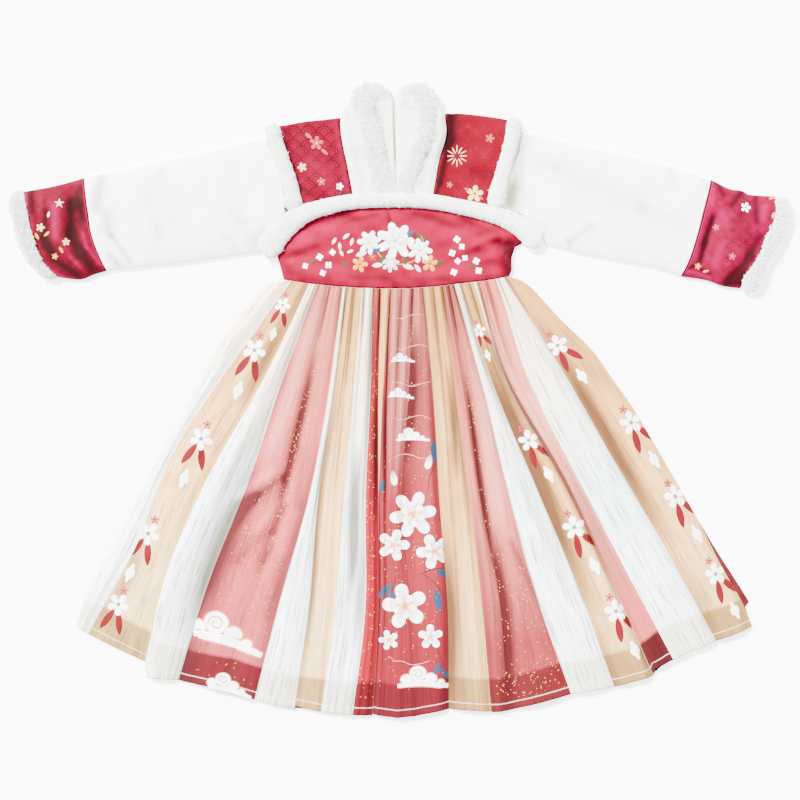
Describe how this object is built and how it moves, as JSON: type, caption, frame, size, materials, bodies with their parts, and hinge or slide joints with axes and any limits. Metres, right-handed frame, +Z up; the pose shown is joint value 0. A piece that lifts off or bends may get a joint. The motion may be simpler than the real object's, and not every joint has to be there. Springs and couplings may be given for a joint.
{
  "type": "child's hanfu dress",
  "caption": "Child's winter hanfu dress laid flat, with a pleated striped chiffon skirt, satin chest band, brocade yokes and cuffs, plush sleeves and shawl collar, and fur trim.",
  "frame": {"origin": "on the surface that the dress lies on, under the centre of its bounding box", "axes": "+X to the right of someone looking down at the dress, +Y towards its collar, +Z up from the surface"},
  "size_m": [0.9786, 0.7904, 0.022],
  "materials": {
    "skirt_back": "crinkled chiffon, beige and pink stripes",
    "skirt_lining": "smooth white lining",
    "skirt_front": "crinkled chiffon, white, beige and pink stripes",
    "bodice_back": "raspberry satin",
    "chest_band": "raspberry satin with embroidered blossoms",
    "yoke": "wine brocade with a scale pattern",
    "collar": "white plush",
    "sleeve": "short white plush",
    "cuff": "wine brocade with a scale pattern",
    "fur": "white imitation fur"
  },
  "bodies": {
    "root": {"skirt_back": "skirt_back", "skirt_lining": "skirt_lining", "skirt_front": "skirt_front", "bodice_back": "bodice_back", "chest_band_front": "chest_band", "yoke_left": "yoke", "yoke_right": "yoke", "collar_back": "collar", "collar_left": "collar", "collar_right": "collar", "sleeve_left": "sleeve", "sleeve_right": "sleeve", "cuff_left": "cuff", "cuff_right": "cuff", "cuff_fur_left": "fur", "cuff_fur_right": "fur", "shoulder_fur_left": "fur", "shoulder_fur_right": "fur", "chest_fur": "fur"}
  },
  "joints": []
}
